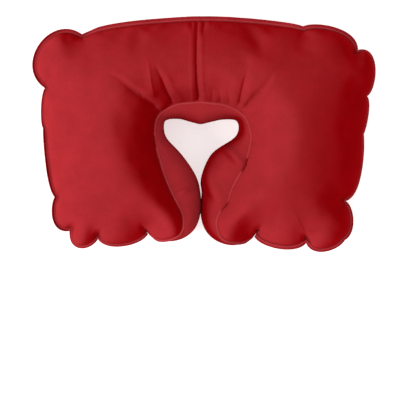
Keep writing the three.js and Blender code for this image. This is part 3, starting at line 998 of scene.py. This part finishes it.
def flock(name, painted_light_direction, dark, light):
    """Red velvety flock with painted light and shade: faces turned towards the painted light's direction
    get a lighter colour, those turned away a darker one.
    """
    material, nodes, links, shader = node_material(name)
    where = nodes.new("ShaderNodeTexCoord")
    place = where.outputs["Object"]
    colour = painted_light_colour(nodes, links, where.outputs["Normal"], painted_light_direction, dark, light)

    patches = ranged(nodes, links, noise(nodes, links, place, 45, 4, 0.62), 0.3, 0.7)
    grain = noise(nodes, links, place, 800, 3, 0.7)
    speck = ranged(nodes, links, grain, 0.3, 0.7)
    mottled = multiply_add(nodes, links, speck, SPECKS, multiply_add(nodes, links, patches, PATCHES, 0.9))
    tinted = nodes.new("ShaderNodeVectorMath")
    tinted.operation = "SCALE"
    links.new(colour, tinted.inputs[0])
    links.new(mottled, tinted.inputs["Scale"])
    links.new(tinted.outputs["Vector"], shader.inputs["Base Color"])
    shader.inputs["Roughness"].default_value = 1
    shader.inputs["Specular IOR Level"].default_value = 0
    shader.inputs["Sheen Weight"].default_value = 0.02
    shader.inputs["Sheen Roughness"].default_value = 0.5
    shader.inputs["Sheen Tint"].default_value = (1, 0.45, 0.45, 1)
    bumped(nodes, links, shader, grain, 0.3, 0.0004)
    return material


def clear_vinyl():
    """Milky soft vinyl of the valve."""
    material, nodes, links, shader = node_material("milky_vinyl")
    place = nodes.new("ShaderNodeTexCoord").outputs["Object"]
    cloud = noise(nodes, links, place, 260, 3)
    ramp = nodes.new("ShaderNodeValToRGB")
    ramp.color_ramp.elements[0].color = (0.62, 0.62, 0.58, 1)
    ramp.color_ramp.elements[1].color = (0.78, 0.78, 0.75, 1)
    links.new(cloud, ramp.inputs["Fac"])
    links.new(ramp.outputs["Color"], shader.inputs["Base Color"])
    shader.inputs["Roughness"].default_value = 0.32
    shader.inputs["Subsurface Weight"].default_value = 0.2
    shader.inputs["Subsurface Radius"].default_value = (0.003, 0.003, 0.003)
    shader.inputs["Subsurface Scale"].default_value = 1
    bumped(nodes, links, shader, cloud, 0.12, 0.0002)
    return material


# ---- Valve: its pieces keep their CAD shape ----


def dress_valve(material):
    for name in ("valve_base", "valve_stem", "check_flap", "valve_plug"):
        node = frame["nodes"][name]
        node.data.materials.clear()
        node.data.materials.append(material)


# ---- Stage ----


def floor(size=40):
    corners = [(-size, -size, 0), (size, -size, 0), (size, size, 0), (-size, size, 0)]
    made = as_object("floor", corners, [(0, 1, 2, 3)])
    material, nodes, links, shader = node_material("floor_white")
    shader.inputs["Base Color"].default_value = (0.95, 0.95, 0.95, 1)
    shader.inputs["Roughness"].default_value = 0.9
    shader.inputs["Specular IOR Level"].default_value = 0.1
    shader.inputs["Emission Color"].default_value = (1, 1, 1, 1)
    shader.inputs["Emission Strength"].default_value = 0.58
    made.data.materials.append(material)


def area_light(name, direction, distance, size, power):
    light = bpy.data.lights.new(name, "AREA")
    light.size = size
    light.energy = power
    made = bpy.data.objects.new(name, light)
    bpy.context.scene.collection.objects.link(made)
    way = Vector(direction).normalized()
    made.location = way * distance
    made.rotation_euler = way.to_track_quat("Z", "Y").to_euler()


def lighting():
    """A large soft lamp low on the left, under an even white dome."""
    bpy.context.scene.view_settings.view_transform = "Standard"
    world = bpy.data.worlds.new("studio")
    bpy.context.scene.world = world
    world.use_nodes = True
    world.node_tree.nodes["Background"].inputs["Color"].default_value = (1, 1, 1, 1)
    world.node_tree.nodes["Background"].inputs["Strength"].default_value = 0.76
    area_light("key", (-0.78, -0.2, 0.62), 7, 2.6, 215)


VIEW_WIDTH = 480
VIEW_CENTRE = (-5.4, -79.2)


def camera():
    """Straight above."""
    data = bpy.data.cameras.new("camera")
    data.lens = 180
    made = bpy.data.objects.new("camera", data)
    bpy.context.scene.collection.objects.link(made)
    centre = placed([(*VIEW_CENTRE, SEAM_HEIGHT)])[0]
    distance = VIEW_WIDTH * SCALE / 2 / math.tan(data.angle / 2)
    made.location = (centre[0], centre[1], centre[2] + distance)
    data.clip_end = 100
    bpy.context.scene.camera = made


build_film(
    flock("red_flock", PANEL_PAINTED_LIGHT_DIRECTION, *PANEL_PAINTED_SHADE_AND_LIGHT),
    flock("red_flock_gusset", GUSSET_PAINTED_LIGHT_DIRECTION, *GUSSET_PAINTED_SHADE_AND_LIGHT),
)
dress_valve(clear_vinyl())
floor()
lighting()
camera()
